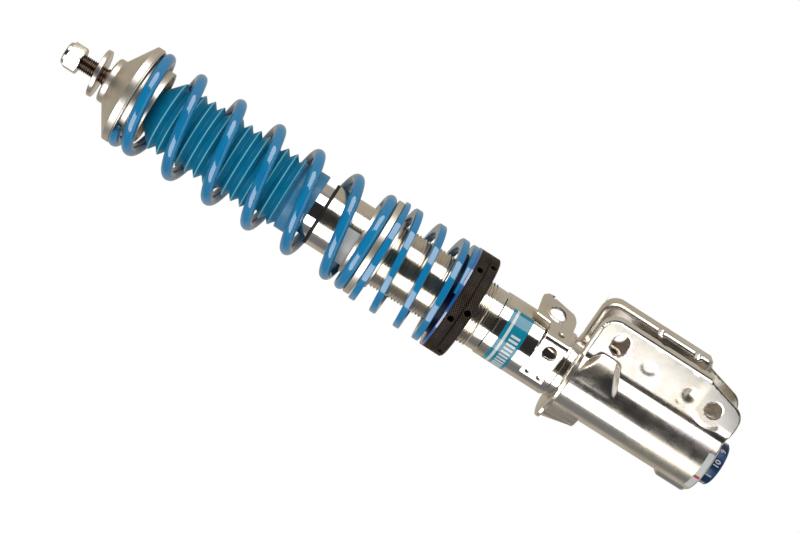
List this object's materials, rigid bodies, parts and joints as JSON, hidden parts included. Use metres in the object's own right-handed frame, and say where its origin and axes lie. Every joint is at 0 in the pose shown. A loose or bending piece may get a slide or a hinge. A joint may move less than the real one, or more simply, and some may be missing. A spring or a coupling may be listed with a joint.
{
  "type": "coilover strut",
  "caption": "Inverted monotube coilover suspension strut with threaded housing, main and helper coil springs, bellows, knuckle clamp bracket and damping knob.",
  "frame": {"origin": "centre of the upper mount seat, the top face of the spring plate's boss, on the strut axis", "axes": "+Z along the strut axis towards the top stud; +X from the axis towards the knuckle bracket's open side; Y through the bracket's bolt holes"},
  "size_m": [0.0995, 0.081, 0.5476],
  "materials": {
    "plated_tube": "bright zinc plated",
    "dark_steel": "plain",
    "plain_steel": "plain",
    "zinc_sheet": "bright zinc plated",
    "bronze": "machined",
    "black_rubber": "matt",
    "black_plastic": "matt",
    "yellow_foam": "microcellular",
    "chrome": "polished",
    "teal_label": "printed film",
    "white_label": "printed film",
    "blue_anodised": "anodised",
    "black_anodised": "anodised and knurled",
    "blue_powder": "gloss powder coat",
    "turned_aluminium": "turned",
    "black_phosphate": "phosphated",
    "blue_rubber": "satin",
    "knob_blue": "anodised",
    "nylon": "natural"
  },
  "bodies": {
    "strut_housing": {"strut_tube": "plated_tube", "base_plug": "dark_steel", "knuckle_bracket": "zinc_sheet", "hose_bracket": "zinc_sheet", "upper_bush": "bronze", "lower_bush": "bronze", "wiper_seal": "black_rubber", "piston_rod": "chrome", "working_piston": "bronze", "piston_band": "black_plastic", "shim_stack": "plain_steel", "piston_nut": "dark_steel", "bump_stop": "yellow_foam", "rod_foot_nut": "dark_steel", "tube_label": "teal_label", "housing_label": "white_label", "indicator_strip": "white_label", "detent_ball": "plain_steel"},
    "spring_perch": {"spring_perch": "blue_anodised", "helper_spring": "blue_powder"},
    "adjuster_collar": {"adjuster_collar": "black_anodised"},
    "lock_ring": {"lock_ring": "black_anodised"},
    "divider": {"divider_ring": "turned_aluminium"},
    "damper_upper": {"damper_tube": "chrome", "top_stud": "black_phosphate", "spring_plate": "turned_aluminium", "main_spring": "blue_powder", "bellows": "blue_rubber", "rod_guide": "bronze", "rod_seal": "black_rubber", "guide_circlip": "dark_steel", "gas_screw": "dark_steel"},
    "floating_piston": {"floating_piston": "turned_aluminium", "floating_piston_seal": "black_rubber"},
    "adjuster_knob": {"adjuster_knob": "knob_blue"},
    "adjuster_needle": {"adjuster_needle": "plain_steel"},
    "top_washer": {"top_washer": "zinc_sheet"},
    "nut_carrier": {"nut_insert": "nylon"},
    "top_nut": {"top_nut": "zinc_sheet"}
  },
  "joints": [
    {"name": "perch_travel", "type": "slide", "parent": "strut_housing", "child": "spring_perch", "axis": [0, 0, 1], "range_m": [-0.0125, 0.02]},
    {"name": "collar_turn", "type": "hinge", "parent": "spring_perch", "child": "adjuster_collar", "pos_m": [0, 0, -0.291], "axis": [0, 0, 1], "range_deg": [-1800, 2880]},
    {"name": "lock_ring_turn", "type": "hinge", "parent": "spring_perch", "child": "lock_ring", "pos_m": [0, 0, -0.299], "axis": [0, 0, 1], "range_deg": [-1800, 2880]},
    {"name": "damper_stroke", "type": "slide", "parent": "spring_perch", "child": "damper_upper", "axis": [0, 0, 1], "range_m": [-0.1, 0], "stiffness_N_per_m": 25000, "springref_m": 0.01, "deforming": ["main_spring", "bellows"]},
    {"name": "divider_travel", "type": "slide", "parent": "spring_perch", "child": "divider", "axis": [0, 0, 1], "range_m": [-0.03, 0], "deforming": ["helper_spring"]},
    {"name": "floating_piston_travel", "type": "slide", "parent": "damper_upper", "child": "floating_piston", "axis": [0, 0, 1], "range_m": [0, 0.0094]},
    {"name": "damping_adjust", "type": "hinge", "parent": "strut_housing", "child": "adjuster_knob", "pos_m": [0, 0, -0.5076], "axis": [0, 0, 1], "range_deg": [0, 324]},
    {"name": "needle_travel", "type": "slide", "parent": "strut_housing", "child": "adjuster_needle", "axis": [0, 0, 1], "range_m": [0, 0.000675]},
    {"name": "nut_travel", "type": "slide", "parent": "damper_upper", "child": "nut_carrier", "axis": [0, 0, 1], "range_m": [-0.003, 0.0045]},
    {"name": "nut_turn", "type": "hinge", "parent": "nut_carrier", "child": "top_nut", "pos_m": [0, 0, 0.028], "axis": [0, 0, 1], "range_deg": [-720, 1080]},
    {"name": "washer_travel", "type": "slide", "parent": "damper_upper", "child": "top_washer", "axis": [0, 0, 1], "range_m": [-0.004, 0.008]}
  ],
  "couplings": [
    {"joint": "collar_turn", "follows": "perch_travel", "rad_per_m": 2513.3},
    {"joint": "lock_ring_turn", "follows": "perch_travel", "rad_per_m": 2513.3},
    {"joint": "divider_travel", "follows": "damper_stroke", "ratio": 0.3},
    {"joint": "floating_piston_travel", "follows": "damper_stroke", "ratio": -0.0933},
    {"joint": "damping_adjust", "follows": "needle_travel", "rad_per_m": 8377.5},
    {"joint": "nut_turn", "follows": "nut_travel", "rad_per_m": 4188.8}
  ]
}
